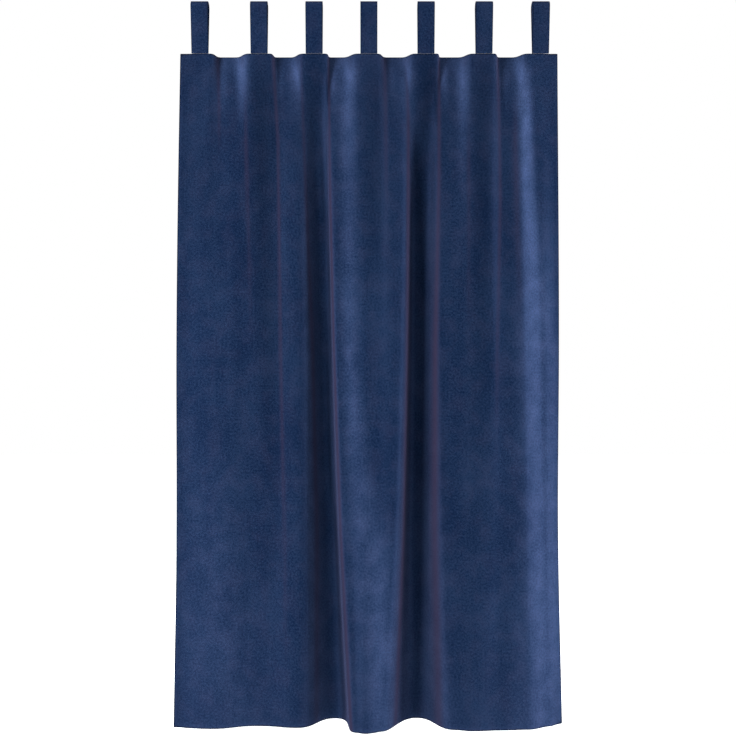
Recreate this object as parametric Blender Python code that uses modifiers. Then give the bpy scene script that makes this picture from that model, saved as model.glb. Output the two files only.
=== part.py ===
# A velvet tab-top curtain panel, hanging in its own folds from seven tab loops.
# Metres, +Z up, the front of the cloth faces -Y, and the origin is on the line
# of the rod that would pass through the loops, halfway along the panel.

import math
from collections import namedtuple

import bmesh
import bpy
import numpy as np

PART_NAME = "tab_top_velvet_curtain"

# Sizes of the panel
CLOTH_THICKNESS = 0.0026
PANEL_TOP = -0.156          # height of the heading edge, below the rod line
PANEL_DROP = 2.275          # from the heading edge to the hem
PANEL_COLUMNS = 88
PANEL_ROWS = 22
ROW_CROWDING = 1.25         # above 1 the rows stand closer together near the heading

# Sizes of a tab: a doubled strap folded over the rod, its two ends sewn together
TAB_WIDTH = 0.058
TAB_STRAP = 0.003
TAB_INNER_RADIUS = 0.016
TAB_FOOT_HEIGHT = 0.016     # the stretch above the heading where the two ends lie together
TAB_SLIT = 0.0012           # how far apart the two ends are where they part
TAB_ARC_STEPS = 12
SEWN_GAP = 0.0003           # between a tab and the edge that it is sewn to
RIM_RISE = 0.0002           # how far the sheet's edge tilts up over PANEL_TOP under a tab

# The heading: the cloth is flat and forward at each tab and falls back between
# two tabs. Each row gives the tab's middle, the left and right end of its flat,
# how far the cloth takes to come forward before it, and to fall back after it.
HEADING_RECESS = 0.034
HeadingFlat = namedtuple("HeadingFlat", "middle left right rise fall")
HEADING = (
    HeadingFlat(middle=-0.568, left=-0.633, right=-0.531, rise=0.000, fall=0.024),
    HeadingFlat(middle=-0.368, left=-0.404, right=-0.328, rise=0.048, fall=0.012),
    HeadingFlat(middle=-0.182, left=-0.220, right=-0.140, rise=0.044, fall=0.009),
    HeadingFlat(middle=+0.003, left=-0.034, right=+0.034, rise=0.052, fall=0.026),
    HeadingFlat(middle=+0.196, left=+0.160, right=+0.236, rise=0.044, fall=0.010),
    HeadingFlat(middle=+0.392, left=+0.355, right=+0.429, rise=0.046, fall=0.018),
    HeadingFlat(middle=+0.583, left=+0.540, right=+0.639, rise=0.046, fall=0.000),
)
HEADING_FADE = 0.22         # drop over which the heading's shape dies away to a third

# The folds below the heading, from the left edge to the right one. Each row has
# the line's place across and its depth (back is positive) at four heights, and
# how much of the way to the line before and after it stays flat, first at the
# top and then at the hem.
FOLD_DROPS = (0.0, 1.0, 1.6, 2.275)
Fold = namedtuple("Fold", "name across depth before after hem_before hem_after")
FOLDS = (
    Fold("left edge",
         (-0.636, -0.645, -0.644, -0.653), (-0.004, -0.006, -0.008, -0.012), 0.0, 0.2, 0.0, 0.2),
    Fold("left ridge",
         (-0.527, -0.531, -0.530, -0.530), (-0.012, -0.016, -0.019, -0.023), 0.3, 0.5, 0.4, 0.5),
    Fold("left hollow",
         (-0.358, -0.345, -0.345, -0.372), (0.004, 0.004, 0.004, 0.000), 0.5, 0.5, 0.5, 0.5),
    Fold("inner left ridge",
         (-0.256, -0.240, -0.236, -0.237), (-0.010, -0.014, -0.014, -0.015), 0.4, 0.5, 0.4, 0.5),
    Fold("left valley",
         (-0.178, -0.150, -0.135, -0.113), (0.038, 0.052, 0.060, 0.061), 0.4, 0.9, 0.5, 0.95),
    Fold("left shelf of the middle fold",
         (-0.108, -0.096, -0.077, -0.040), (-0.018, -0.030, -0.042, -0.052), 0.9, 0.3, 0.6, 0.4),
    Fold("middle crest",
         (0.003, 0.010, 0.006, -0.010), (-0.036, -0.055, -0.062, -0.060), 0.3, 0.4, 0.4, 0.4),
    Fold("right shelf of the middle fold",
         (0.097, 0.096, 0.084, 0.045), (-0.020, -0.036, -0.042, -0.043), 0.4, 0.9, 0.1, 0.3),
    Fold("right valley",
         (0.190, 0.176, 0.166, 0.168), (0.038, 0.054, 0.061, 0.064), 0.9, 0.6, 0.5, 0.5),
    Fold("left shelf of the right fold",
         (0.262, 0.262, 0.268, 0.290), (-0.014, -0.022, -0.028, -0.031), 0.7, 0.4, 0.5, 0.4),
    Fold("right crest",
         (0.388, 0.397, 0.390, 0.345), (-0.032, -0.038, -0.040, -0.040), 0.5, 0.5, 0.4, 0.5),
    Fold("right hollow",
         (0.455, 0.460, 0.465, 0.450), (-0.012, -0.028, -0.033, -0.034), 0.5, 0.4, 0.5, 0.5),
    Fold("right shoulder",
         (0.505, 0.518, 0.525, 0.540), (-0.024, -0.033, -0.034, -0.029), 0.5, 0.2, 0.5, 0.3),
    Fold("right turn",
         (0.560, 0.590, 0.600, 0.610), (0.002, 0.000, 0.000, -0.004), 0.3, 0.4, 0.2, 0.3),
    Fold("right edge",
         (0.641, 0.649, 0.646, 0.659), (0.004, 0.020, 0.020, 0.017), 0.4, 0.0, 0.2, 0.0),
)

# Colours and finish
VELVET_COLOUR = (0.018, 0.036, 0.105, 1.0)
TAB_COLOUR = (0.014, 0.030, 0.088, 1.0)
VELVET_ROUGHNESS = 0.9

STEPS_PER_FOLD = 24


def clear_scene():
    for thing in list(bpy.data.objects):
        bpy.data.objects.remove(thing, do_unlink=True)


def ease_between(values, drop):
    """The value at a drop, on a smooth curve through the values at FOLD_DROPS."""
    slopes = np.gradient(np.array(values), np.array(FOLD_DROPS))
    place = min(max(np.searchsorted(FOLD_DROPS, drop) - 1, 0), len(FOLD_DROPS) - 2)
    span = FOLD_DROPS[place + 1] - FOLD_DROPS[place]
    t = (drop - FOLD_DROPS[place]) / span
    start = (1 + 2 * t) * (1 - t) ** 2 * values[place] + t * (1 - t) ** 2 * span * slopes[place]
    end = t * t * (3 - 2 * t) * values[place + 1] - t * t * (1 - t) * span * slopes[place + 1]
    return start + end


def run_through(lines):
    """Points of the smooth section through lines of (across, depth, before, after)."""
    t = np.linspace(0.0, 1.0, STEPS_PER_FOLD, endpoint=False)
    across, depth = [], []
    for this, following in zip(lines, lines[1:]):
        gap = following[0] - this[0]
        corners = (this[0], this[0] + gap * this[3], following[0] - gap * following[2], following[0])
        weights = ((1 - t) ** 3, 3 * t * (1 - t) ** 2, 3 * t * t * (1 - t), t ** 3)
        across.append(sum(w * c for w, c in zip(weights, corners)))
        depth.append(this[1] + (following[1] - this[1]) * t * t * (3 - 2 * t))
    across.append(np.array([lines[-1][0]]))
    depth.append(np.array([lines[-1][1]]))
    return np.concatenate(across), np.concatenate(depth)


def spread_evenly(across, depth, shares):
    """Across and depth at the given shares of the section's length."""
    steps = np.hypot(np.diff(across), np.diff(depth))
    length = np.concatenate(([0.0], np.cumsum(steps)))
    wanted = np.array(shares) * length[-1]
    return np.interp(wanted, length, across), np.interp(wanted, length, depth)


def heading_lines():
    lines = []
    for flat in HEADING:
        if flat.rise:
            lines.append((flat.left - flat.rise, HEADING_RECESS, 0.3, 0.5))
        lines.append((flat.left, 0.0, 0.5, 0.3))
        lines.append((flat.right, 0.0, 0.3, 0.5))
        if flat.fall:
            lines.append((flat.right + flat.fall, HEADING_RECESS, 0.5, 0.3))
    return lines


def fold_lines(drop):
    low = drop / PANEL_DROP
    lines = []
    for fold in FOLDS:
        before = fold.before + (fold.hem_before - fold.before) * low
        after = fold.after + (fold.hem_after - fold.after) * low
        lines.append((ease_between(fold.across, drop), ease_between(fold.depth, drop), before, after))
    return lines


def section_at(drop, shares):
    """The hanging cloth's section: the heading's shape dying away into the folds."""
    heading = spread_evenly(*run_through(heading_lines()), shares)
    folds = spread_evenly(*run_through(fold_lines(drop)), shares)
    hold = math.exp(-drop / HEADING_FADE)
    across = hold * heading[0] + (1 - hold) * folds[0]
    depth = hold * heading[1] + (1 - hold) * folds[1]
    return across, depth


def velvet(name, colour):
    material = bpy.data.materials.new(name)
    material.use_nodes = True
    shader = material.node_tree.nodes["Principled BSDF"]
    shader.inputs["Base Color"].default_value = colour
    shader.inputs["Roughness"].default_value = VELVET_ROUGHNESS
    shader.inputs["Metallic"].default_value = 0.0
    return material


def add_part(name, mesh, material, collection):
    mesh.materials.append(material)
    part = bpy.data.objects.new(name, mesh)
    collection.objects.link(part)
    return part


def build_panel(collection):
    """One sheet: a flat grid whose every row is bent to the section at its drop."""
    work = bmesh.new()
    bmesh.ops.create_grid(work, x_segments=PANEL_COLUMNS, y_segments=PANEL_ROWS, size=1.0)
    work.verts.ensure_lookup_table()
    rows = {}
    for vert in work.verts:
        rows.setdefault(round(vert.co.y, 5), []).append(vert)
    for level, verts in rows.items():
        drop = PANEL_DROP * ((1.0 - level) / 2) ** ROW_CROWDING
        across, depth = section_at(drop, [(vert.co.x + 1) / 2 for vert in verts])
        for vert, x, y in zip(verts, across, depth):
            vert.co = (x, y, PANEL_TOP - drop)
    mesh = bpy.data.meshes.new("curtain_panel")
    work.to_mesh(mesh)
    work.free()
    mesh.shade_smooth()
    panel = add_part("curtain_panel", mesh, velvet("velvet", VELVET_COLOUR), collection)
    shell = panel.modifiers.new("Cloth", "SOLIDIFY")
    shell.thickness = CLOTH_THICKNESS
    shell.offset = 0.0
    return panel


def loop_outline(radius, foot_half, foot_height):
    """A drop shape in (depth, height): round over the rod, running in to its foot."""
    lean = math.asin((radius - foot_half) / abs(foot_height))
    points = [(foot_half, foot_height)]
    for step in range(TAB_ARC_STEPS + 1):
        angle = -lean + (math.pi + 2 * lean) * step / TAB_ARC_STEPS
        points.append((radius * math.cos(angle), radius * math.sin(angle)))
    points.append((-foot_half, foot_height))
    return points


def build_tab(number, middle, collection):
    """A strap seen from its edge, as a flat outline with the loop's hole, given its width."""
    foot = PANEL_TOP + RIM_RISE + SEWN_GAP
    outlines = (
        loop_outline(TAB_INNER_RADIUS + TAB_STRAP, TAB_STRAP, foot),
        loop_outline(TAB_INNER_RADIUS, TAB_SLIT / 2, foot + TAB_FOOT_HEIGHT),
    )
    name = f"tab_{number}"
    curve = bpy.data.curves.new(name, "CURVE")
    curve.dimensions = "2D"
    curve.fill_mode = "BOTH"
    curve.extrude = TAB_WIDTH / 2
    for outline in outlines:
        spline = curve.splines.new("POLY")
        spline.points.add(len(outline) - 1)
        spline.use_cyclic_u = True
        for point, (depth, height) in zip(spline.points, outline):
            point.co = (depth, height, 0.0, 1.0)
    flat = bpy.data.objects.new("outline", curve)
    collection.objects.link(flat)
    shape = bpy.data.meshes.new_from_object(flat.evaluated_get(bpy.context.evaluated_depsgraph_get()))
    bpy.data.objects.remove(flat, do_unlink=True)
    bpy.data.curves.remove(curve)
    work = bmesh.new()
    work.from_mesh(shape)
    bmesh.ops.remove_doubles(work, verts=work.verts, dist=0.00001)
    for vert in work.verts:
        vert.co = (middle + vert.co.z, vert.co.x, vert.co.y)
    bmesh.ops.recalc_face_normals(work, faces=work.faces)
    work.to_mesh(shape)
    work.free()
    shape.name = name
    shape.shade_smooth()
    shape.set_sharp_from_angle(angle=math.radians(40))
    return add_part(name, shape, velvet(f"velvet_{name}", TAB_COLOUR), collection)


def main():
    clear_scene()
    collection = bpy.data.collections.new(PART_NAME)
    bpy.context.scene.collection.children.link(collection)
    build_panel(collection)
    for number, flat in enumerate(HEADING, start=1):
        build_tab(number, flat.middle, collection)


main()
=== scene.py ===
import math
from collections import namedtuple

import bmesh
import bpy
import numpy as np
from mathutils import Matrix, Vector


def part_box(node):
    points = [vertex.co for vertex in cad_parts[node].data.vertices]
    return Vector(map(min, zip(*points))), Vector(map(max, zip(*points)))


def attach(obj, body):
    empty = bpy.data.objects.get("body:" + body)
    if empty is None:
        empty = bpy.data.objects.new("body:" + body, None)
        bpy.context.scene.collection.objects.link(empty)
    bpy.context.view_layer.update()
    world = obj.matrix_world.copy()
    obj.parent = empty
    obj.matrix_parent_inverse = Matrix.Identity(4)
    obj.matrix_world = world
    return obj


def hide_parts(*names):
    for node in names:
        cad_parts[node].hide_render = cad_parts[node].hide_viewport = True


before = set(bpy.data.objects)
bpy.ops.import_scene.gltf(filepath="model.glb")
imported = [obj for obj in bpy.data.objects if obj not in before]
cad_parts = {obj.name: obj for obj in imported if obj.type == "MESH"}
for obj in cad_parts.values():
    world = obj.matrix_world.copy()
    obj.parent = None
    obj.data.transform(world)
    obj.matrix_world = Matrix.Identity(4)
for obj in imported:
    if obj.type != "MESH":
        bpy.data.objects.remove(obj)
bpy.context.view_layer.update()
panelLow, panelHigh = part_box("curtain_panel")
headingHeight = panelHigh[2]
hemHeight = panelLow[2]
fullDrop = headingHeight - hemHeight
print("frame loaded: the panel drops", round(fullDrop, 3), "m")

view = {
    "distance": 2.765,      # in front of the rod line
    "eyeHeight": 1.2115,    # above the hem
    "lens": 40.0,
    "sensor": 36.0,
}

cameraData = bpy.data.cameras.new("camera")
cameraData.lens = view["lens"]
cameraData.sensor_width = view["sensor"]
camera = bpy.data.objects.new("camera", cameraData)
camera.location = (0.0, -view["distance"], hemHeight + view["eyeHeight"])
camera.rotation_euler = (math.pi / 2, 0.0, 0.0)
bpy.context.scene.collection.objects.link(camera)
bpy.context.scene.camera = camera
print("camera placed")

hanging = {
    "recess": 0.034,        # how far the heading falls back between two tabs
    "headingFade": 0.22,    # drop over which the heading's shape dies away to a third
    "stepsPerFold": 40,
    "easeSteps": 5,         # how many steps each way a bend is eased over
}

# each tab: its middle, the ends of the cloth's flat under it, and how far the
# cloth takes to come forward before the flat and to fall back after it
HeadingFlat = namedtuple("HeadingFlat", "middle left right rise fall")
heading = (
    HeadingFlat(middle=-0.568, left=-0.633, right=-0.531, rise=0.000, fall=0.024),
    HeadingFlat(middle=-0.368, left=-0.404, right=-0.328, rise=0.048, fall=0.012),
    HeadingFlat(middle=-0.182, left=-0.220, right=-0.140, rise=0.044, fall=0.009),
    HeadingFlat(middle=+0.003, left=-0.034, right=+0.034, rise=0.052, fall=0.026),
    HeadingFlat(middle=+0.196, left=+0.160, right=+0.236, rise=0.044, fall=0.010),
    HeadingFlat(middle=+0.392, left=+0.355, right=+0.429, rise=0.046, fall=0.018),
    HeadingFlat(middle=+0.583, left=+0.540, right=+0.639, rise=0.046, fall=0.000),
)

# each fold line: its place across and its depth at four drops, and the share of
# the way to the line before and after it that stays flat, at the top and at the hem
foldDrops = (0.0, 1.0, 1.6, 2.275)
Fold = namedtuple("Fold", "name across depth before after hemBefore hemAfter")
folds = (
    Fold("left edge",
         (-0.636, -0.645, -0.644, -0.653), (-0.004, -0.006, -0.008, -0.012), 0.0, 0.2, 0.0, 0.2),
    Fold("left ridge",
         (-0.527, -0.531, -0.530, -0.530), (-0.012, -0.016, -0.019, -0.023), 0.3, 0.5, 0.4, 0.5),
    Fold("left hollow",
         (-0.358, -0.345, -0.345, -0.372), (0.004, 0.004, 0.004, 0.000), 0.5, 0.5, 0.5, 0.5),
    Fold("inner left ridge",
         (-0.256, -0.240, -0.236, -0.237), (-0.010, -0.014, -0.014, -0.015), 0.4, 0.5, 0.4, 0.5),
    Fold("left valley",
         (-0.178, -0.150, -0.135, -0.113), (0.038, 0.052, 0.060, 0.061), 0.4, 0.9, 0.5, 0.95),
    Fold("left shelf of the middle fold",
         (-0.108, -0.096, -0.077, -0.040), (-0.018, -0.030, -0.042, -0.052), 0.9, 0.3, 0.6, 0.4),
    Fold("middle crest",
         (0.003, 0.010, 0.006, -0.010), (-0.036, -0.055, -0.062, -0.060), 0.3, 0.4, 0.4, 0.4),
    Fold("right shelf of the middle fold",
         (0.097, 0.096, 0.084, 0.045), (-0.020, -0.036, -0.042, -0.043), 0.4, 0.9, 0.1, 0.3),
    Fold("right valley",
         (0.190, 0.176, 0.166, 0.168), (0.038, 0.054, 0.061, 0.064), 0.9, 0.6, 0.5, 0.5),
    Fold("left shelf of the right fold",
         (0.262, 0.262, 0.268, 0.290), (-0.014, -0.022, -0.028, -0.031), 0.7, 0.4, 0.5, 0.4),
    Fold("right crest",
         (0.388, 0.397, 0.390, 0.345), (-0.032, -0.038, -0.040, -0.040), 0.5, 0.5, 0.4, 0.5),
    Fold("right hollow",
         (0.455, 0.460, 0.465, 0.450), (-0.012, -0.028, -0.033, -0.034), 0.5, 0.4, 0.5, 0.5),
    Fold("right shoulder",
         (0.505, 0.518, 0.525, 0.540), (-0.024, -0.033, -0.034, -0.029), 0.5, 0.2, 0.5, 0.3),
    Fold("right turn",
         (0.560, 0.590, 0.600, 0.610), (0.002, 0.000, 0.000, -0.004), 0.3, 0.4, 0.2, 0.3),
    Fold("right edge",
         (0.641, 0.649, 0.646, 0.659), (0.004, 0.020, 0.020, 0.017), 0.4, 0.0, 0.2, 0.0),
)


def easeBetween(values, drop):
    slopes = np.gradient(np.array(values), np.array(foldDrops))
    place = min(max(np.searchsorted(foldDrops, drop) - 1, 0), len(foldDrops) - 2)
    span = foldDrops[place + 1] - foldDrops[place]
    t = (drop - foldDrops[place]) / span
    start = (1 + 2 * t) * (1 - t) ** 2 * values[place] + t * (1 - t) ** 2 * span * slopes[place]
    end = t * t * (3 - 2 * t) * values[place + 1] - t * t * (1 - t) * span * slopes[place + 1]
    return start + end


def runThrough(lines):
    # a smooth section through lines of (across, depth, flat before, flat after)
    t = np.linspace(0.0, 1.0, hanging["stepsPerFold"], endpoint=False)
    across, depth = [], []
    for this, following in zip(lines, lines[1:]):
        gap = following[0] - this[0]
        corners = (this[0], this[0] + gap * this[3], following[0] - gap * following[2], following[0])
        weights = ((1 - t) ** 3, 3 * t * (1 - t) ** 2, 3 * t * t * (1 - t), t ** 3)
        across.append(sum(w * c for w, c in zip(weights, corners)))
        depth.append(this[1] + (following[1] - this[1]) * t * t * (3 - 2 * t))
    across.append(np.array([lines[-1][0]]))
    depth.append(np.array([lines[-1][1]]))
    return np.concatenate(across), np.concatenate(depth)


def spreadEvenly(across, depth, shares):
    steps = np.hypot(np.diff(across), np.diff(depth))
    length = np.concatenate(([0.0], np.cumsum(steps)))
    wanted = np.array(shares) * length[-1]
    return np.interp(wanted, length, across), np.interp(wanted, length, depth)


def headingLines():
    lines = []
    for flat in heading:
        if flat.rise:
            lines.append((flat.left - flat.rise, hanging["recess"], 0.3, 0.5))
        lines.append((flat.left, 0.0, 0.5, 0.3))
        lines.append((flat.right, 0.0, 0.3, 0.5))
        if flat.fall:
            lines.append((flat.right + flat.fall, hanging["recess"], 0.5, 0.3))
    return lines


def foldLines(drop):
    low = drop / foldDrops[-1]
    lines = []
    for fold in folds:
        before = fold.before + (fold.hemBefore - fold.before) * low
        after = fold.after + (fold.hemAfter - fold.after) * low
        lines.append((easeBetween(fold.across, drop), easeBetween(fold.depth, drop), before, after))
    return lines


denseShares = np.linspace(0.0, 1.0, 1201)


def eased(values):
    # no bend is tighter than the layers of the heading's hem can follow
    steps = hanging["easeSteps"]
    window = np.full(2 * steps + 1, 1 / (2 * steps + 1))
    return np.convolve(np.pad(values, steps, mode="reflect", reflect_type="odd"), window, mode="valid")


def sectionAt(drop):
    # the cloth's line at one drop, its way along and its way to the back
    headingPart = spreadEvenly(*runThrough(headingLines()), denseShares)
    foldPart = spreadEvenly(*runThrough(foldLines(drop)), denseShares)
    hold = math.exp(-drop / hanging["headingFade"])
    across = eased(hold * headingPart[0] + (1 - hold) * foldPart[0])
    depth = eased(hold * headingPart[1] + (1 - hold) * foldPart[1])
    alongX, alongY = np.gradient(across), np.gradient(depth)
    size = np.hypot(alongX, alongY)
    return across, depth, alongX / size, alongY / size


class ClothLine:
    # answers where the cloth is at a share of its width, for one drop
    def __init__(self, drop):
        self.across, self.depth, self.alongX, self.alongY = sectionAt(drop)

    def point(self, share, out, behind):
        x = np.interp(share, denseShares, self.across)
        y = np.interp(share, denseShares, self.depth)
        tx = np.interp(share, denseShares, self.alongX)
        ty = np.interp(share, denseShares, self.alongY)
        return x + tx * out - ty * behind, y + ty * out + tx * behind


velvetLook = {
    "deep": (0.0021, 0.0062, 0.0205),
    "raised": (0.0073, 0.0153, 0.0385),
    # painted sheen, added to the colour as the pile tilts from the eye: where, and the colour
    "tilts": (
        (0.00, (0.0000, 0.0000, 0.0000)),
        (0.06, (0.0006, 0.0010, 0.0024)),
        (0.16, (0.0036, 0.0056, 0.0130)),
        (0.28, (0.0050, 0.0072, 0.0155)),
        (0.42, (0.0040, 0.0045, 0.0090)),
        (0.60, (0.0050, 0.0042, 0.0075)),
        (1.00, (0.0080, 0.0055, 0.0080)),
    ),
    "paintedHighlight": (0.0122, 0.0186, 0.0410),   # painted highlight, added where light falls on the fold slopes and down the right edge
    "darkPileAndShade": 0.62,                        # taken away where the pile is darker under the tabs, and as painted shade in the valleys
    "paintedSheenLineColour": (0.0185, 0.0142, 0.0305),    # painted sheen on the thin lines along the folds
    "haze": (0.0026, 0.0020, 0.0034),        # cloudy bloom over the pile
    "rimShade": 0.45,                        # what is left of the colour at a cut or folded edge
    "rimWidth": 0.0040,
    "sheenTint": (0.30, 0.36, 0.70),
    "sheen": 0.22,
    "sheenRoughness": 0.3,
    "roughness": 0.9,
    "blotchScale": 7.0,         # per metre
    "hazeScale": 19.0,
    "streakScale": 26.0,
    "napScale": 16.0,
    "tuftScale": 150.0,
    "grainScale": 420.0,
    # how much of the pattern each noise makes, and where its two colours sit
    "blotchShare": 0.20,
    "streakShare": 0.08,
    "tuftShare": 0.38,
    "grainShare": 0.34,
    "pileStops": (0.43, 0.57),
    "hazeStops": (0.44, 0.66),
    "cloudInPatches": 0.6,      # the rest of the brushed patches is tufts
    "napHeight": 0.0016,
    "napStrength": 0.6,
    "grainHeight": 0.0012,
    "grainStrength": 0.5,
}
backLook = {
    "hollow": (0.0030, 0.0066, 0.0185),
    "thread": (0.0130, 0.0225, 0.0540),
    "threadSpacing": 0.0016,
    "cloudScale": 9.0,          # per metre
    "slubScale": 60.0,
    "roughness": 0.85,
    "specular": 0.08,
    "threadHeight": 0.0005,
    "bandAtScaleOne": 0.314,    # metres from one band of the wave to the next
    "weaveShare": 0.35,
    "cloudShare": 0.45,
    "slubShare": 0.35,
    "stops": (0.42, 0.92),
}
threadLook = {
    "dark": (0.026, 0.044, 0.110),
    "light": (0.070, 0.105, 0.230),
    "roughness": 0.6,
    "plyScale": 900.0,
}


def newMaterial(name):
    material = bpy.data.materials.new(name)
    material.use_nodes = True
    nodes = material.node_tree.nodes
    return material, nodes, material.node_tree.links, nodes["Principled BSDF"]


def noiseAt(nodes, links, vector, scale, detail, stretch):
    mapping = nodes.new("ShaderNodeMapping")
    mapping.inputs["Scale"].default_value = stretch
    noise = nodes.new("ShaderNodeTexNoise")
    noise.inputs["Scale"].default_value = scale
    noise.inputs["Detail"].default_value = detail
    links.new(vector, mapping.inputs["Vector"])
    links.new(mapping.outputs["Vector"], noise.inputs["Vector"])
    return noise.outputs["Fac"]


def weigh(nodes, links, operation, first, second):
    maths = nodes.new("ShaderNodeMath")
    maths.operation = operation
    for socket, value in zip(maths.inputs, (first, second)):
        if isinstance(value, float):
            socket.default_value = value
        else:
            links.new(value, socket)
    return maths.outputs["Value"]


def makeRamp(nodes, links, factor, stops):
    ramp = nodes.new("ShaderNodeValToRGB")
    elements = ramp.color_ramp.elements
    while len(elements) < len(stops):
        elements.new(0.5)
    for element, (position, colour) in zip(elements, stops):
        element.position = position
        element.color = (*colour, 1.0)
    links.new(factor, ramp.inputs["Fac"])
    return ramp.outputs["Color"]


def addColours(nodes, links, first, second):
    both = nodes.new("ShaderNodeMix")
    both.data_type = "RGBA"
    both.blend_type = "ADD"
    both.inputs["Factor"].default_value = 1.0
    links.new(first, both.inputs["A"])
    links.new(second, both.inputs["B"])
    return both.outputs["Result"]


def addPaintedLightAndShade(nodes, links, colour, patches, look):
    # painted highlights where light falls on the slopes, darker pile under the tabs with painted shade in
    # the valleys, painted sheen lines along the folds, and darker cut and folded edges
    pileAndPaintedLight = nodes.new("ShaderNodeAttribute")
    pileAndPaintedLight.attribute_name = "pile"
    parts = nodes.new("ShaderNodeSeparateXYZ")
    links.new(pileAndPaintedLight.outputs["Vector"], parts.inputs["Vector"])
    uneven = weigh(nodes, links, "SUBTRACT", weigh(nodes, links, "MULTIPLY", patches, 3.0), 0.5)
    # painted highlight, broken up by the patches
    light = weigh(nodes, links, "MULTIPLY", parts.outputs["X"], uneven)
    # darker pile under the tabs, with painted shade in the valleys
    dark = weigh(nodes, links, "MULTIPLY", parts.outputs["Y"], look["darkPileAndShade"])
    edge = nodes.new("ShaderNodeAttribute")
    edge.attribute_name = "edge"
    rim = nodes.new("ShaderNodeMapRange")
    rim.inputs["From Max"].default_value = look["rimWidth"]
    rim.inputs["To Min"].default_value = look["rimShade"]
    links.new(edge.outputs["Fac"], rim.inputs["Value"])
    keep = weigh(nodes, links, "MULTIPLY", weigh(nodes, links, "SUBTRACT", 1.0, dark), rim.outputs["Result"])
    darkened = nodes.new("ShaderNodeVectorMath")
    darkened.operation = "SCALE"
    links.new(colour, darkened.inputs["Vector"])
    links.new(keep, darkened.inputs["Scale"])
    # the painted highlight's colour, added on top
    lifted = nodes.new("ShaderNodeVectorMath")
    lifted.operation = "SCALE"
    lifted.inputs["Vector"].default_value = look["paintedHighlight"]
    links.new(light, lifted.inputs["Scale"])
    # painted sheen on thin lines along the folds
    paintedSheenLine = nodes.new("ShaderNodeMix")
    paintedSheenLine.data_type = "RGBA"
    paintedSheenLine.inputs["B"].default_value = (*look["paintedSheenLineColour"], 1.0)
    links.new(parts.outputs["Z"], paintedSheenLine.inputs["Factor"])
    links.new(addColours(nodes, links, darkened.outputs["Vector"], lifted.outputs["Vector"]),
              paintedSheenLine.inputs["A"])
    return paintedSheenLine.outputs["Result"]


def makeVelvet(name, look):
    material, nodes, links, shader = newMaterial(name)
    place = nodes.new("ShaderNodeTexCoord").outputs["UV"]
    blotch = noiseAt(nodes, links, place, look["blotchScale"], 4.0, (1.0, 0.55, 1.0))
    streak = noiseAt(nodes, links, place, look["streakScale"], 3.0, (1.0, 0.09, 1.0))
    nap = noiseAt(nodes, links, place, look["napScale"], 3.0, (1.0, 0.5, 1.0))
    tuft = noiseAt(nodes, links, place, look["tuftScale"], 3.0, (1.0, 1.0, 1.0))
    grain = noiseAt(nodes, links, place, look["grainScale"], 2.0, (1.0, 1.0, 1.0))
    pattern = weigh(nodes, links, "MULTIPLY", blotch, look["blotchShare"])
    for part, share in ((streak, "streakShare"), (tuft, "tuftShare"), (grain, "grainShare")):
        pattern = weigh(nodes, links, "ADD", pattern, weigh(nodes, links, "MULTIPLY", part, look[share]))
    pile = makeRamp(nodes, links, pattern, list(zip(look["pileStops"], (look["deep"], look["raised"]))))
    # painted sheen: a colour added to the pile's colour as it tilts from the eye
    tilt = nodes.new("ShaderNodeLayerWeight")
    tilt.inputs["Blend"].default_value = 0.5
    paintedSheen = makeRamp(nodes, links, tilt.outputs["Facing"], look["tilts"])
    cloud = noiseAt(nodes, links, place, look["hazeScale"], 4.0, (1.0, 0.8, 1.0))
    haze = makeRamp(nodes, links, cloud, list(zip(look["hazeStops"], ((0.0, 0.0, 0.0), look["haze"]))))
    hazed = addColours(nodes, links, pile, haze)
    pileWithPaintedSheen = addColours(nodes, links, hazed, paintedSheen)
    patches = weigh(nodes, links, "ADD", weigh(nodes, links, "MULTIPLY", cloud, look["cloudInPatches"]),
                    weigh(nodes, links, "MULTIPLY", tuft, 1 - look["cloudInPatches"]))
    pileAndPaintedLight = addPaintedLightAndShade(nodes, links, pileWithPaintedSheen, patches, look)
    links.new(pileAndPaintedLight, shader.inputs["Base Color"])
    shader.inputs["Roughness"].default_value = look["roughness"]
    shader.inputs["Specular IOR Level"].default_value = 0.0
    shader.inputs["Sheen Weight"].default_value = look["sheen"]
    shader.inputs["Sheen Roughness"].default_value = look["sheenRoughness"]
    shader.inputs["Sheen Tint"].default_value = (*look["sheenTint"], 1.0)
    napBump = nodes.new("ShaderNodeBump")
    napBump.inputs["Strength"].default_value = look["napStrength"]
    napBump.inputs["Distance"].default_value = look["napHeight"]
    links.new(nap, napBump.inputs["Height"])
    grainBump = nodes.new("ShaderNodeBump")
    grainBump.inputs["Strength"].default_value = look["grainStrength"]
    grainBump.inputs["Distance"].default_value = look["grainHeight"]
    links.new(weigh(nodes, links, "ADD", tuft, grain), grainBump.inputs["Height"])
    links.new(napBump.outputs["Normal"], grainBump.inputs["Normal"])
    links.new(grainBump.outputs["Normal"], shader.inputs["Normal"])
    return material


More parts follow.
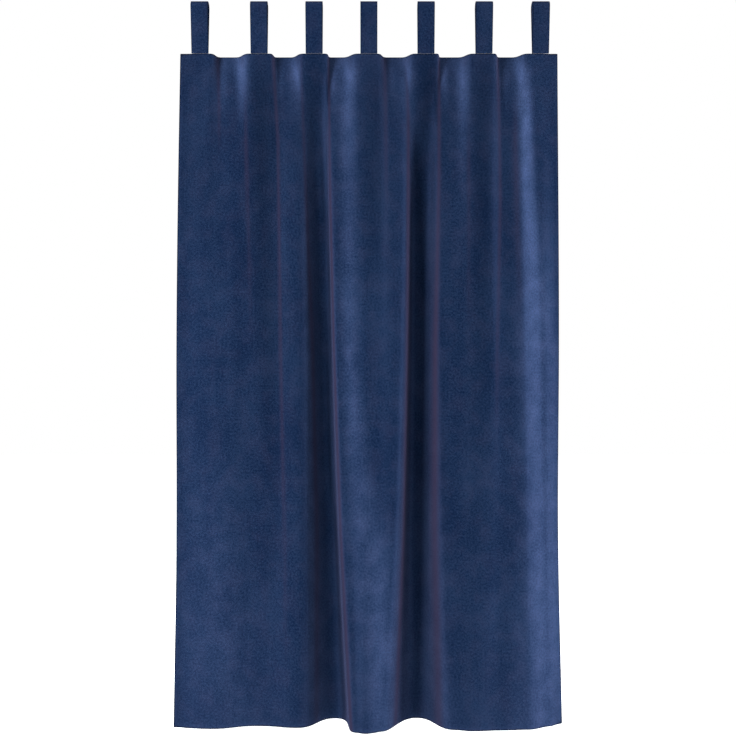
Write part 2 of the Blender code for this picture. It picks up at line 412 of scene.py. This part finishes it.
def makeBackCloth(name, look):
    # a plain weave: two sets of threads crossing, uneven in thickness and in tone
    material, nodes, links, shader = newMaterial(name)
    place = nodes.new("ShaderNodeTexCoord").outputs["UV"]
    weave = []
    for direction in ("X", "Y"):
        wave = nodes.new("ShaderNodeTexWave")
        wave.bands_direction = direction
        wave.inputs["Scale"].default_value = look["bandAtScaleOne"] / look["threadSpacing"]
        wave.inputs["Distortion"].default_value = 0.7
        wave.inputs["Detail"].default_value = 1.0
        links.new(place, wave.inputs["Vector"])
        weave.append(wave.outputs["Fac"])
    cross = weigh(nodes, links, "MULTIPLY", weave[0], weave[1])
    cloud = noiseAt(nodes, links, place, look["cloudScale"], 4.0, (1.0, 0.6, 1.0))
    across = noiseAt(nodes, links, place, look["slubScale"], 2.0, (0.08, 6.0, 1.0))
    down = noiseAt(nodes, links, place, look["slubScale"], 2.0, (6.0, 0.08, 1.0))
    pattern = weigh(nodes, links, "MULTIPLY", cross, look["weaveShare"])
    for part, share in ((cloud, "cloudShare"), (across, "slubShare"), (down, "slubShare")):
        pattern = weigh(nodes, links, "ADD", pattern, weigh(nodes, links, "MULTIPLY", part, look[share]))
    colour = makeRamp(nodes, links, pattern, list(zip(look["stops"], (look["hollow"], look["thread"]))))
    links.new(colour, shader.inputs["Base Color"])
    shader.inputs["Roughness"].default_value = look["roughness"]
    shader.inputs["Specular IOR Level"].default_value = look["specular"]
    bump = nodes.new("ShaderNodeBump")
    bump.inputs["Strength"].default_value = 0.5
    bump.inputs["Distance"].default_value = look["threadHeight"]
    links.new(weigh(nodes, links, "ADD", cross, weigh(nodes, links, "ADD", across, down)),
              bump.inputs["Height"])
    links.new(bump.outputs["Normal"], shader.inputs["Normal"])
    return material


def makeThread(name, look):
    material, nodes, links, shader = newMaterial(name)
    place = nodes.new("ShaderNodeTexCoord").outputs["Object"]
    ply = noiseAt(nodes, links, place, look["plyScale"], 2.0, (1.0, 1.0, 1.0))
    colour = makeRamp(nodes, links, ply, ((0.0, look["dark"]), (1.0, look["light"])))
    links.new(colour, shader.inputs["Base Color"])
    shader.inputs["Roughness"].default_value = look["roughness"]
    return material


velvet = makeVelvet("velvet", velvetLook)
backCloth = makeBackCloth("back cloth", backLook)
thread = makeThread("thread", threadLook)
print("materials made")


panel = {
    "columns": 250,
    "rows": 132,
    "rowCrowding": 1.15,
    "bendCrowding": 0.02,   # how much closer the columns stand where the cloth bends
    "bendWindow": 15,       # over how many places along the cloth a bend counts
    "mostCrowding": 5.0,
    "thickness": 0.0017,
    "pitch": 0.0022,        # from one layer of a hem to the next
    "sideHem": 0.025,
    "bottomHem": 0.080,
    "headingHem": 0.060,
    "cornerWidth": 0.0475,  # from the side edge to where the corner's extra layers have eased out
    "tabGap": 0.0003,       # between the heading's edge and the foot of a tab
    "turnSteps": 3,
    "flatWidth": 1.50,      # the cloth between its side folds
}


Sweep = namedtuple("Sweep", "name points")
# painted highlights, where light falls on the fold slopes, beside the tabs and down the right edge: (drop,
# across, half width, strength)
paintedHighlightSweeps = (
    Sweep("before tab 2", ((0.00, -0.440, 0.030, 0.5), (0.05, -0.433, 0.022, 1.0),
                           (0.13, -0.428, 0.022, 0.4), (0.24, -0.425, 0.020, 0.0))),
    Sweep("right of tab 1", ((0.00, -0.494, 0.014, 0.5), (0.09, -0.494, 0.014, 0.4),
                             (0.20, -0.492, 0.014, 0.0))),
    Sweep("right of tab 2", ((0.00, -0.304, 0.015, 0.5), (0.08, -0.302, 0.014, 0.4),
                             (0.16, -0.298, 0.012, 0.0))),
    Sweep("right of tab 3", ((0.00, -0.122, 0.016, 0.8), (0.08, -0.120, 0.016, 0.7),
                             (0.20, -0.112, 0.012, 0.0))),
    Sweep("right of tab 4", ((0.00, 0.076, 0.014, 0.4), (0.08, 0.078, 0.014, 0.3),
                             (0.16, 0.080, 0.012, 0.0))),
    Sweep("right of tab 5", ((0.00, 0.256, 0.016, 0.8), (0.08, 0.258, 0.016, 0.7),
                             (0.20, 0.262, 0.012, 0.0))),
    Sweep("right of tab 6", ((0.00, 0.460, 0.016, 0.5), (0.08, 0.462, 0.016, 0.4),
                             (0.18, 0.466, 0.012, 0.0))),
    Sweep("left slope of the left valley", ((0.20, -0.208, 0.014, 0.0), (0.50, -0.206, 0.015, 0.35),
                                            (1.30, -0.198, 0.017, 0.40), (2.28, -0.172, 0.02, 0.45))),
    Sweep("before tab 3", ((0.00, -0.258, 0.028, 0.5), (0.06, -0.250, 0.020, 1.1),
                           (0.13, -0.246, 0.020, 0.4), (0.24, -0.244, 0.020, 0.0))),
    Sweep("before tab 4 and down the middle fold",
          ((0.00, -0.086, 0.030, 0.6), (0.06, -0.070, 0.030, 1.1), (0.19, -0.078, 0.032, 0.6),
           (0.44, -0.070, 0.030, 0.4), (1.06, -0.060, 0.030, 0.6), (1.38, -0.035, 0.036, 0.5),
           (1.70, 0.012, 0.070, 0.5), (2.00, 0.042, 0.062, 0.6), (2.28, 0.058, 0.060, 0.4))),
    Sweep("before tab 5", ((0.00, 0.120, 0.026, 0.5), (0.06, 0.131, 0.022, 0.9),
                           (0.13, 0.133, 0.020, 0.4), (0.26, 0.134, 0.020, 0.1), (0.9, 0.14, 0.02, 0.0))),
    Sweep("before tab 6", ((0.00, 0.305, 0.030, 0.5), (0.06, 0.318, 0.024, 1.0),
                           (0.19, 0.320, 0.024, 0.5), (0.45, 0.322, 0.026, 0.2), (0.8, 0.33, 0.03, 0.0))),
    Sweep("before tab 7 and down the right edge",
          ((0.00, 0.505, 0.026, 0.7), (0.06, 0.520, 0.022, 1.5), (0.22, 0.530, 0.023, 1.4),
           (0.44, 0.533, 0.024, 0.9), (0.75, 0.558, 0.044, 0.85), (1.06, 0.572, 0.070, 0.65),
           (1.40, 0.586, 0.080, 0.50), (1.70, 0.592, 0.075, 0.70), (2.28, 0.600, 0.080, 0.60))),
    Sweep("low on the left", ((1.20, -0.57, 0.06, 0.0), (1.70, -0.52, 0.09, 0.25),
                              (2.00, -0.50, 0.10, 0.32), (2.28, -0.48, 0.12, 0.15))),
    Sweep("low on the right", ((1.30, 0.23, 0.03, 0.0), (1.70, 0.235, 0.03, 0.25),
                               (2.00, 0.24, 0.035, 0.3), (2.28, 0.26, 0.04, 0.35))),
)
# darker pile under the tabs and at the left edge, and painted shade in the valleys and beside the middle
# fold's left edge
darkPileAndShadeSweeps = (
    Sweep("under tab 2", ((0.00, -0.358, 0.050, 0.3), (0.12, -0.358, 0.052, 0.6),
                          (0.45, -0.358, 0.052, 0.6), (1.06, -0.335, 0.050, 0.35), (1.6, -0.33, 0.05, 0.1))),
    Sweep("under tab 3 into the left valley",
          ((0.00, -0.176, 0.044, 0.3), (0.12, -0.180, 0.046, 0.5), (0.40, -0.176, 0.034, 0.4),
           (0.75, -0.156, 0.018, 0.2), (1.38, -0.128, 0.020, 0.2), (2.28, -0.118, 0.026, 0.1))),
    Sweep("left edge", ((0.00, -0.640, 0.045, 0.25), (1.00, -0.648, 0.035, 0.20),
                        (2.28, -0.650, 0.030, 0.25))),
    Sweep("under tab 1", ((0.00, -0.580, 0.060, 0.25), (0.40, -0.575, 0.070, 0.22),
                          (1.00, -0.560, 0.080, 0.0))),
    Sweep("under the middle fold's left edge",
          ((0.25, -0.156, 0.010, 0.0), (0.44, -0.152, 0.011, 0.5), (0.75, -0.134, 0.013, 0.7),
           (1.06, -0.133, 0.012, 0.8), (1.38, -0.129, 0.012, 0.8), (1.69, -0.109, 0.013, 0.75),
           (2.00, -0.098, 0.013, 0.7), (2.28, -0.082, 0.014, 0.5))),
    Sweep("under tab 4", ((0.00, 0.020, 0.045, 0.2), (0.12, 0.022, 0.045, 0.4),
                          (0.45, 0.022, 0.045, 0.4), (0.90, 0.020, 0.045, 0.0))),
    Sweep("under tab 5 into the right valley",
          ((0.00, 0.200, 0.045, 0.4), (0.12, 0.200, 0.045, 0.6), (0.45, 0.196, 0.038, 0.5),
           (0.90, 0.196, 0.034, 0.3), (1.50, 0.206, 0.044, 0.35), (2.28, 0.222, 0.048, 0.4))),
    Sweep("under tab 6", ((0.00, 0.392, 0.045, 0.3), (0.12, 0.392, 0.045, 0.5),
                          (0.75, 0.390, 0.045, 0.35), (1.20, 0.385, 0.045, 0.10), (1.80, 0.38, 0.05, 0.0))),
)
# painted sheen: thin lines along the folds' steep edges
paintedSheenLines = (
    Sweep("right of tab 1", ((0.02, -0.512, 0.006, 0.5), (0.18, -0.505, 0.005, 0.4),
                             (0.36, -0.503, 0.006, 0.0))),
    Sweep("left of tab 2", ((0.10, -0.416, 0.006, 0.0), (0.30, -0.413, 0.006, 0.4),
                            (0.70, -0.402, 0.006, 0.2), (1.00, -0.396, 0.006, 0.0))),
    Sweep("right of tab 2", ((0.02, -0.322, 0.005, 0.5), (0.30, -0.304, 0.005, 0.6),
                             (1.00, -0.296, 0.006, 0.5), (1.60, -0.282, 0.007, 0.3),
                             (2.10, -0.276, 0.007, 0.0))),
    Sweep("left of the left valley", ((0.08, -0.226, 0.005, 0.2), (0.50, -0.210, 0.006, 0.5),
                                      (1.00, -0.190, 0.007, 0.5), (1.60, -0.176, 0.008, 0.5),
                                      (2.28, -0.176, 0.008, 0.4))),
    Sweep("down the middle fold's left side",
          ((0.02, -0.134, 0.004, 0.5), (0.50, -0.126, 0.0045, 0.8), (1.00, -0.114, 0.0045, 0.8),
           (1.60, -0.091, 0.005, 0.8), (2.28, -0.055, 0.006, 0.8))),
    Sweep("right of tab 4", ((0.04, 0.058, 0.007, 0.4), (0.36, 0.060, 0.007, 0.3),
                             (0.60, 0.062, 0.007, 0.0))),
    Sweep("down the middle fold's right side",
          ((0.02, 0.128, 0.005, 0.1), (0.20, 0.136, 0.006, 0.6), (1.00, 0.134, 0.007, 0.8),
           (1.60, 0.122, 0.007, 0.8), (2.28, 0.092, 0.008, 0.6))),
    Sweep("right of the right valley",
          ((0.02, 0.242, 0.005, 0.6), (0.40, 0.240, 0.006, 0.6), (1.00, 0.228, 0.009, 0.8),
           (1.60, 0.226, 0.012, 0.7), (2.28, 0.240, 0.013, 0.5))),
    Sweep("left of tab 6", ((0.20, 0.338, 0.006, 0.0), (0.40, 0.338, 0.006, 0.3),
                            (1.00, 0.336, 0.006, 0.0))),
    Sweep("right of tab 6", ((0.04, 0.442, 0.006, 0.5), (0.50, 0.444, 0.006, 0.5),
                             (1.00, 0.432, 0.007, 0.3), (1.40, 0.428, 0.007, 0.0))),
    Sweep("left of the bright sweep", ((0.14, 0.500, 0.008, 0.0), (0.30, 0.496, 0.009, 0.4),
                                       (0.60, 0.500, 0.010, 0.3), (1.00, 0.512, 0.010, 0.0))),
)
# soft troughs (depth above 0) and ridges pressed in the hung cloth
creases = (
    Sweep("below tab 1, left", ((0.04, -0.600, 0.014, 0.0), (0.20, -0.598, 0.016, 0.0012),
                                (0.62, -0.604, 0.020, 0.0))),
    Sweep("below tab 1, right", ((0.05, -0.505, 0.016, 0.0), (0.28, -0.498, 0.018, 0.0018),
                                 (0.90, -0.488, 0.026, 0.0010), (1.40, -0.480, 0.030, 0.0))),
    Sweep("long one left of tab 2", ((0.10, -0.405, 0.014, 0.0), (0.50, -0.408, 0.020, 0.0016),
                                     (1.10, -0.420, 0.028, 0.0012), (1.70, -0.436, 0.032, 0.0))),
    Sweep("ridge beside it", ((0.50, -0.452, 0.024, 0.0), (1.00, -0.458, 0.030, -0.0014),
                              (1.60, -0.462, 0.036, 0.0))),
    Sweep("below tab 2, right", ((0.05, -0.312, 0.014, 0.0), (0.30, -0.306, 0.016, 0.0018),
                                 (0.95, -0.296, 0.022, 0.0012), (1.90, -0.290, 0.030, 0.0))),
    Sweep("low, left of the middle", ((1.10, -0.255, 0.030, 0.0), (1.65, -0.262, 0.036, 0.0016),
                                      (2.20, -0.250, 0.040, 0.0))),
    Sweep("slanting on the lower left", ((1.25, -0.600, 0.030, 0.0), (1.60, -0.545, 0.036, 0.0018),
                                         (1.95, -0.480, 0.040, 0.0))),
    Sweep("second slant under it", ((1.60, -0.420, 0.030, 0.0), (1.88, -0.385, 0.036, 0.0016),
                                    (2.16, -0.355, 0.040, 0.0))),
    Sweep("in the middle fold, left", ((0.30, -0.030, 0.014, 0.0), (0.90, -0.034, 0.018, 0.0016),
                                       (1.50, -0.020, 0.022, 0.0))),
    Sweep("in the middle fold, right", ((0.10, 0.062, 0.012, 0.0), (0.55, 0.066, 0.016, 0.0018),
                                        (1.30, 0.058, 0.018, 0.0010), (1.90, 0.040, 0.020, 0.0))),
    Sweep("beside the right valley", ((0.20, 0.262, 0.014, 0.0), (0.80, 0.284, 0.020, 0.0014),
                                      (1.50, 0.320, 0.030, 0.0))),
    Sweep("below tab 6, left", ((0.06, 0.348, 0.014, 0.0), (0.40, 0.350, 0.018, 0.0016),
                                (1.10, 0.346, 0.024, 0.0))),
    Sweep("below tab 6, right", ((0.06, 0.430, 0.014, 0.0), (0.45, 0.434, 0.018, 0.0018),
                                 (1.00, 0.428, 0.024, 0.0))),
    Sweep("low, right of the middle", ((1.40, 0.400, 0.030, 0.0), (1.80, 0.430, 0.036, 0.0016),
                                       (2.20, 0.448, 0.040, 0.0))),
    Sweep("ridge down the right edge", ((0.35, 0.600, 0.018, 0.0), (0.90, 0.622, 0.026, -0.0006),
                                        (1.70, 0.628, 0.024, 0.0))),
)


def sweepsAt(sweeps, drop, across):
    # what a set of sweeps adds up to along the cloth's line at one drop
    total = np.zeros(len(across))
    for sweep in sweeps:
        drops, middles, halves, strengths = zip(*sweep.points)
        if drops[0] - 0.2 < drop < drops[-1] + 0.2:
            middle = np.interp(drop, drops, middles)
            half = np.interp(drop, drops, halves)
            strength = np.interp(drop, drops, strengths)
            total += strength * np.exp(-((across - middle) / half) ** 2)
    return total


def finishMesh(work, name, materials):
    mesh = bpy.data.meshes.new(name)
    work.to_mesh(mesh)
    work.free()
    for material in materials:
        mesh.materials.append(material)
    mesh.shade_smooth()
    piece = bpy.data.objects.new(name, mesh)
    bpy.context.scene.collection.objects.link(piece)
    return piece


def columnShares(count):
    # the columns stand closer where the cloth turns
    turning = np.full(denseShares.shape, 1.0)
    window = np.full(panel["bendWindow"], 1 / panel["bendWindow"])
    for drop in (0.0, 0.4, 1.2, foldDrops[-1]):
        line = ClothLine(drop)
        angle = np.unwrap(np.arctan2(line.alongY, line.alongX))
        bend = np.abs(np.gradient(angle, denseShares))
        turning += panel["bendCrowding"] * np.convolve(bend, window, mode="same")
    turning = np.minimum(turning, panel["mostCrowding"])
    total = np.concatenate(([0.0], np.cumsum((turning[1:] + turning[:-1]) / 2)))
    return np.interp(np.linspace(0.0, total[-1], count), total, denseShares)


def turned(edge, hem, inwards, flatSteps):
    # cloth places from the hem's raw edge to its fold: (place, out, turn)
    places = [(edge + inwards * hem * (1 - k / flatSteps), 0.0, math.pi) for k in range(flatSteps)]
    for k in range(panel["turnSteps"] + 1):
        turn = math.pi * (1 - k / (panel["turnSteps"] + 1))
        places.append((edge, -inwards * math.sin(turn), turn))
    return places


def layersAt(shares):
    # what a folded edge goes round, in layers: three at the corners, where the side hem is inside
    sideShare = panel["sideHem"] / panel["flatWidth"]
    cornerShare = panel["cornerWidth"] / panel["flatWidth"]
    edgeNear = np.minimum(shares, 1 - shares)
    corner = np.clip((cornerShare - edgeNear) / (cornerShare - sideShare), 0.0, 1.0)
    return 1 + 2 * corner * corner * (3 - 2 * corner)


def heightAt(drop, layers):
    # the folded edges at the heading and the hem reach just as far as the frame's cloth
    inset = (layers * panel["pitch"] + panel["thickness"]) / 2 + panel["tabGap"]
    return headingHeight - inset - drop * (1 - 2 * inset / fullDrop)


def buildPanel():
    shares = columnShares(panel["columns"])
    sideShare = panel["sideHem"] / panel["flatWidth"]
    columns = turned(0.0, sideShare, 1, 3)
    columns += [(share, 0.0, 0.0) for share in shares]
    columns += turned(1.0, sideShare, -1, 3)[::-1]
    rowShares = np.linspace(0.0, 1.0, panel["rows"]) ** panel["rowCrowding"]
    rows = turned(0.0, panel["headingHem"], 1, 5)
    rows += [(share * fullDrop, 0.0, 0.0) for share in rowShares]
    rows += turned(fullDrop, panel["bottomHem"], -1, 6)[::-1]
    half = panel["pitch"] / 2
    columnShare = np.array([column[0] for column in columns])
    columnOut = np.array([column[1] for column in columns]) * half
    columnBehind = half * (1 - np.cos([column[2] for column in columns]))
    columnFront = np.array([column[2] == 0.0 for column in columns])
    edgeNear = np.minimum(columnShare, 1 - columnShare)
    layers = layersAt(columnShare)
    # at a corner the inner layers turn inside the outer ones
    radius = layers * panel["pitch"] / 2 - columnBehind

    work = bmesh.new()
    bmesh.ops.create_grid(work, x_segments=len(columns) - 1, y_segments=len(rows) - 1, size=1.0)
    grid = {}
    for vert in work.verts:
        column = round((vert.co.x + 1) / 2 * (len(columns) - 1))
        row = round((1 - vert.co.y) / 2 * (len(rows) - 1))
        grid[(row, column)] = vert
    clothX = columnShare * panel["flatWidth"]
    work.verts.index_update()
    pileAndPaintedLight = np.zeros((len(work.verts), 3))
    edges = np.zeros(len(work.verts))
    for row, (drop, out, turn) in enumerate(rows):
        line = ClothLine(min(max(drop, 0.0), fullDrop))
        behind = layers * panel["pitch"] / 2 - radius * math.cos(turn)
        height = heightAt(drop, layers) - radius * out
        x, y = line.point(columnShare, columnOut, behind)
        y = y + sweepsAt(creases, drop, x)
        onFront = columnFront * (turn == 0.0)
        # painted highlights on the front
        light = sweepsAt(paintedHighlightSweeps, drop, x) * onFront
        # darker pile, and painted shade in the valleys
        dark = sweepsAt(darkPileAndShadeSweeps, drop, x) * onFront
        # painted sheen lines
        paintedSheenLine = sweepsAt(paintedSheenLines, drop, x) * onFront
        for column in range(len(columns)):
            index = grid[(row, column)].index
            pileAndPaintedLight[index] = (light[column], dark[column], paintedSheenLine[column])
            edges[index] = min(edgeNear[column] * panel["flatWidth"], fullDrop - drop, drop)
            grid[(row, column)].co = (x[column], y[column], height[column])
    uvLayer = work.loops.layers.uv.new("cloth")
    place = {vert: key for key, vert in grid.items()}
    for face in work.faces:
        for loop in face.loops:
            row, column = place[loop.vert]
            loop[uvLayer].uv = (clothX[column], fullDrop - rows[row][0])
    piece = finishMesh(work, "velvetPanel", (velvet, backCloth))
    # the pile attribute holds the painted highlight, the darker pile with painted shade, and the painted
    # sheen lines
    pile = piece.data.attributes.new("pile", "FLOAT_VECTOR", "POINT")
    pile.data.foreach_set("vector", pileAndPaintedLight.ravel())
    edge = piece.data.attributes.new("edge", "FLOAT", "POINT")
    edge.data.foreach_set("value", edges)
    shell = piece.modifiers.new("thickness", "SOLIDIFY")
    shell.thickness = panel["thickness"]
    shell.offset = 0.0
    shell.material_offset = 1
    shell.material_offset_rim = 0
    return piece


sewing = {
    "blindStitch": 0.009,   # the length of one small slanting stitch
    "blindStep": 0.022,     # from one to the next along the hem
    "runningStitch": 0.0042,
    "runningStep": 0.0062,
    "shortest": 0.0020,     # a running stitch squeezed below this in a bend is left out
    "blindSlant": 0.6,      # how much of a blind stitch's length runs along the hem
    "onHem": 0.004,         # where a blind stitch starts, past the hem's raw edge
    "offHem": 0.002,        # where it ends, beyond that edge
    "blindMargin": 0.040,   # left free at each end of the bottom row
    "sideMargin": 0.020,    # and of a side row
    "runningMargin": 0.030,  # and of the heading's row
    "runningInset": 0.006,  # from the heading hem's raw edge to its row
    "threadRadius": 0.00035,
    "proud": 0.0004,        # how far a stitch stands over the cloth
}


def clothPoint(across, drop, behind):
    # a place on the hung cloth: metres along its width, its drop, and behind it
    share = across / panel["flatWidth"]
    x, y = ClothLine(drop).point(share, 0.0, behind)
    pressed = sweepsAt(creases, drop, np.array([x]))[0]
    return Vector((float(x), float(y + pressed), float(heightAt(drop, layersAt(share)))))


def addStitch(work, start, end):
    # one stitch: a thin rounded bar from start to end
    run = end - start
    turn = run.to_track_quat("Z", "Y").to_matrix().to_4x4()
    place = Matrix.Translation((start + end) / 2) @ turn
    bmesh.ops.create_cone(work, cap_ends=True, segments=6, radius1=sewing["threadRadius"],
                          radius2=sewing["threadRadius"], depth=run.length, matrix=place)


def sewHems():
    # the hems are caught down on the back with slanting stitches over their raw edge
    work = bmesh.new()
    behind = panel["pitch"] + panel["thickness"] / 2 + sewing["proud"]
    bottomEdge = fullDrop - panel["bottomHem"]
    onCloth = panel["thickness"] / 2 + sewing["proud"]
    run = sewing["blindStitch"] * sewing["blindSlant"]
    count = int((panel["flatWidth"] - 2 * sewing["blindMargin"]) / sewing["blindStep"])
    for k in range(count):
        across = sewing["blindMargin"] + k * sewing["blindStep"]
        addStitch(work, clothPoint(across, bottomEdge + sewing["onHem"], behind),
                  clothPoint(across + run, bottomEdge - sewing["offHem"], onCloth))
    count = int((bottomEdge - panel["headingHem"] - 2 * sewing["sideMargin"]) / sewing["blindStep"])
    for edge, inwards in ((panel["sideHem"], 1), (panel["flatWidth"] - panel["sideHem"], -1)):
        for k in range(count):
            drop = panel["headingHem"] + sewing["sideMargin"] + k * sewing["blindStep"]
            addStitch(work, clothPoint(edge - inwards * sewing["onHem"], drop, behind),
                      clothPoint(edge + inwards * sewing["offHem"], drop + run, onCloth))
    return finishMesh(work, "hemStitches", (thread,))


def sewHeading():
    # a running row on the back holds the heading's hem
    work = bmesh.new()
    behind = panel["pitch"] + panel["thickness"] / 2 + sewing["proud"]
    drop = panel["headingHem"] - sewing["runningInset"]
    count = int((panel["flatWidth"] - 2 * sewing["runningMargin"]) / sewing["runningStep"])
    for k in range(count):
        across = sewing["runningMargin"] + k * sewing["runningStep"]
        start = clothPoint(across, drop, behind)
        end = clothPoint(across + sewing["runningStitch"], drop, behind)
        if (end - start).length > sewing["shortest"]:
            addStitch(work, start, end)
    return finishMesh(work, "headingStitches", (thread,))


velvetPanel = buildPanel()
hemStitches = sewHems()
headingStitches = sewHeading()
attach(velvetPanel, "root")
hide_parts("curtain_panel")
for stitches in (hemStitches, headingStitches):
    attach(stitches, "root")
    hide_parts("curtain_panel")
print("panel and its stitches made")


tab = {
    "width": 0.0575,
    "thickness": 0.0028,
    "radius": 0.0175,       # to the middle of the strap
    "footHalf": 0.0015,
    "footStraight": 0.010,  # the stretch over the heading where the two ends lie together
    "footSpread": 0.0004,
    "pathSteps": 25,
    "stepsAlong": 64,
    "stepsAcross": 12,
    "edgeRound": 0.0011,
    "pileDown": 0.14,       # how far its pile lies down, 0 to 1
    "patternStart": 2.0,    # where the straps lie in the velvet's pattern, past the panel
    "patternStep": 0.3,
    "sharpest": 50.0,       # corners over this many degrees are rounded
}


def tabPath(footHeight):
    # the strap's middle line in (depth, height), up the front, over and down the back
    lean = math.asin((tab["radius"] - tab["footHalf"]) / abs(footHeight))
    arc = [(-tab["radius"] * math.cos(a), tab["radius"] * math.sin(a))
           for a in np.linspace(-lean, math.pi + lean, tab["pathSteps"])]
    spread = tab["footHalf"] + tab["footSpread"]
    parting = footHeight + tab["footStraight"]
    points = [(-tab["footHalf"], footHeight), (-spread, parting)]
    points += arc
    points += [(spread, parting), (tab["footHalf"], footHeight)]
    depth = np.array([p[0] for p in points])
    height = np.array([p[1] for p in points])
    length = np.concatenate(([0.0], np.cumsum(np.hypot(np.diff(depth), np.diff(height)))))
    wanted = np.linspace(0.0, length[-1], tab["stepsAlong"] + 1)
    return np.interp(wanted, length, depth), np.interp(wanted, length, height), wanted


def buildTab(number, middle):
    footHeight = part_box(f"tab_{number}")[0][2]
    depth, height, run = tabPath(footHeight)
    work = bmesh.new()
    bmesh.ops.create_grid(work, x_segments=tab["stepsAcross"], y_segments=tab["stepsAlong"], size=1.0)
    uvLayer = work.loops.layers.uv.new("cloth")
    spots = {}
    for vert in work.verts:
        along = round((vert.co.y + 1) / 2 * tab["stepsAlong"])
        side = vert.co.x
        spots[vert] = (side, along)
        vert.co = (middle + side * tab["width"] / 2, depth[along], height[along])
    for face in work.faces:
        for loop in face.loops:
            side, along = spots[loop.vert]
            patternAcross = tab["patternStart"] + number * tab["patternStep"]
            loop[uvLayer].uv = (patternAcross + side * tab["width"] / 2, run[along])
    edges = [(1 - abs(side)) * tab["width"] / 2 for side, along in spots.values()]
    piece = finishMesh(work, f"tabLoop{number}", (velvet,))
    edge = piece.data.attributes.new("edge", "FLOAT", "POINT")
    edge.data.foreach_set("value", edges)
    pile = piece.data.attributes.new("pile", "FLOAT_VECTOR", "POINT")
    pile.data.foreach_set("vector", [0.0, tab["pileDown"], 0.0] * len(edges))
    shell = piece.modifiers.new("thickness", "SOLIDIFY")
    shell.thickness = tab["thickness"]
    shell.offset = 0.0
    rounded = piece.modifiers.new("rounded edges", "BEVEL")
    rounded.width = tab["edgeRound"]
    rounded.segments = 3
    rounded.limit_method = "ANGLE"
    rounded.angle_limit = math.radians(tab["sharpest"])
    return piece


for number, flat in enumerate(heading, start=1):
    strap = buildTab(number, flat.middle)
    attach(strap, "root")
    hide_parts(f"tab_{number}")
print("tabs made")


studio = {
    "floorDrop": 0.05,
    "floorColour": (0.90, 0.90, 0.90),
    "floorGlow": 0.6,
    "floorHalf": 9.0,
    "surroundStrength": 0.55,
    # power, size, and place from the middle of the curtain
    "key": (225.0, (1.0, 2.6), (-2.5, -2.0, 0.5)),
    "fill": (215.0, (1.0, 2.6), (3.0, -0.6, 0.3)),
    "back": (90.0, (1.4, 2.4), (-2.3, 2.0, 0.5)),
}

floorWork = bmesh.new()
bmesh.ops.create_grid(floorWork, x_segments=1, y_segments=1, size=studio["floorHalf"])
for vert in floorWork.verts:
    vert.co.z = hemHeight - studio["floorDrop"]
floorMaterial, *_, floorShader = newMaterial("pale floor")
floorShader.inputs["Base Color"].default_value = (*studio["floorColour"], 1.0)
floorShader.inputs["Roughness"].default_value = 0.9
floorShader.inputs["Emission Color"].default_value = (1.0, 1.0, 1.0, 1.0)
floorShader.inputs["Emission Strength"].default_value = studio["floorGlow"]
floor = finishMesh(floorWork, "floor", (floorMaterial,))

world = bpy.data.worlds.new("studio")
bpy.context.scene.world = world
world.use_nodes = True
worldNodes, worldLinks = world.node_tree.nodes, world.node_tree.links
surround = worldNodes["Background"]
surround.inputs["Color"].default_value = (0.92, 0.96, 1.0, 1.0)
surround.inputs["Strength"].default_value = studio["surroundStrength"]
# what shows behind the curtain is plain white, and doesn't light it
backdrop = worldNodes.new("ShaderNodeBackground")
backdrop.inputs["Color"].default_value = (1.0, 1.0, 1.0, 1.0)
seen = worldNodes.new("ShaderNodeLightPath")
mix = worldNodes.new("ShaderNodeMixShader")
worldLinks.new(seen.outputs["Is Camera Ray"], mix.inputs["Fac"])
worldLinks.new(surround.outputs["Background"], mix.inputs[1])
worldLinks.new(backdrop.outputs["Background"], mix.inputs[2])
worldLinks.new(mix.outputs["Shader"], worldNodes["World Output"].inputs["Surface"])


def addLight(name, middle):
    power, size, offset = studio[name]
    data = bpy.data.lights.new(name, "AREA")
    data.energy = power
    data.shape = "RECTANGLE"
    data.size, data.size_y = size
    light = bpy.data.objects.new(name, data)
    light.location = middle + Vector(offset)
    light.rotation_euler = (-Vector(offset)).to_track_quat("-Z", "Y").to_euler()
    bpy.context.scene.collection.objects.link(light)


curtainMiddle = Vector((0.0, 0.0, (headingHeight + hemHeight) / 2))
for name in ("key", "fill", "back"):
    addLight(name, curtainMiddle)
bpy.context.scene.view_settings.view_transform = "Standard"
print("floor and light set")
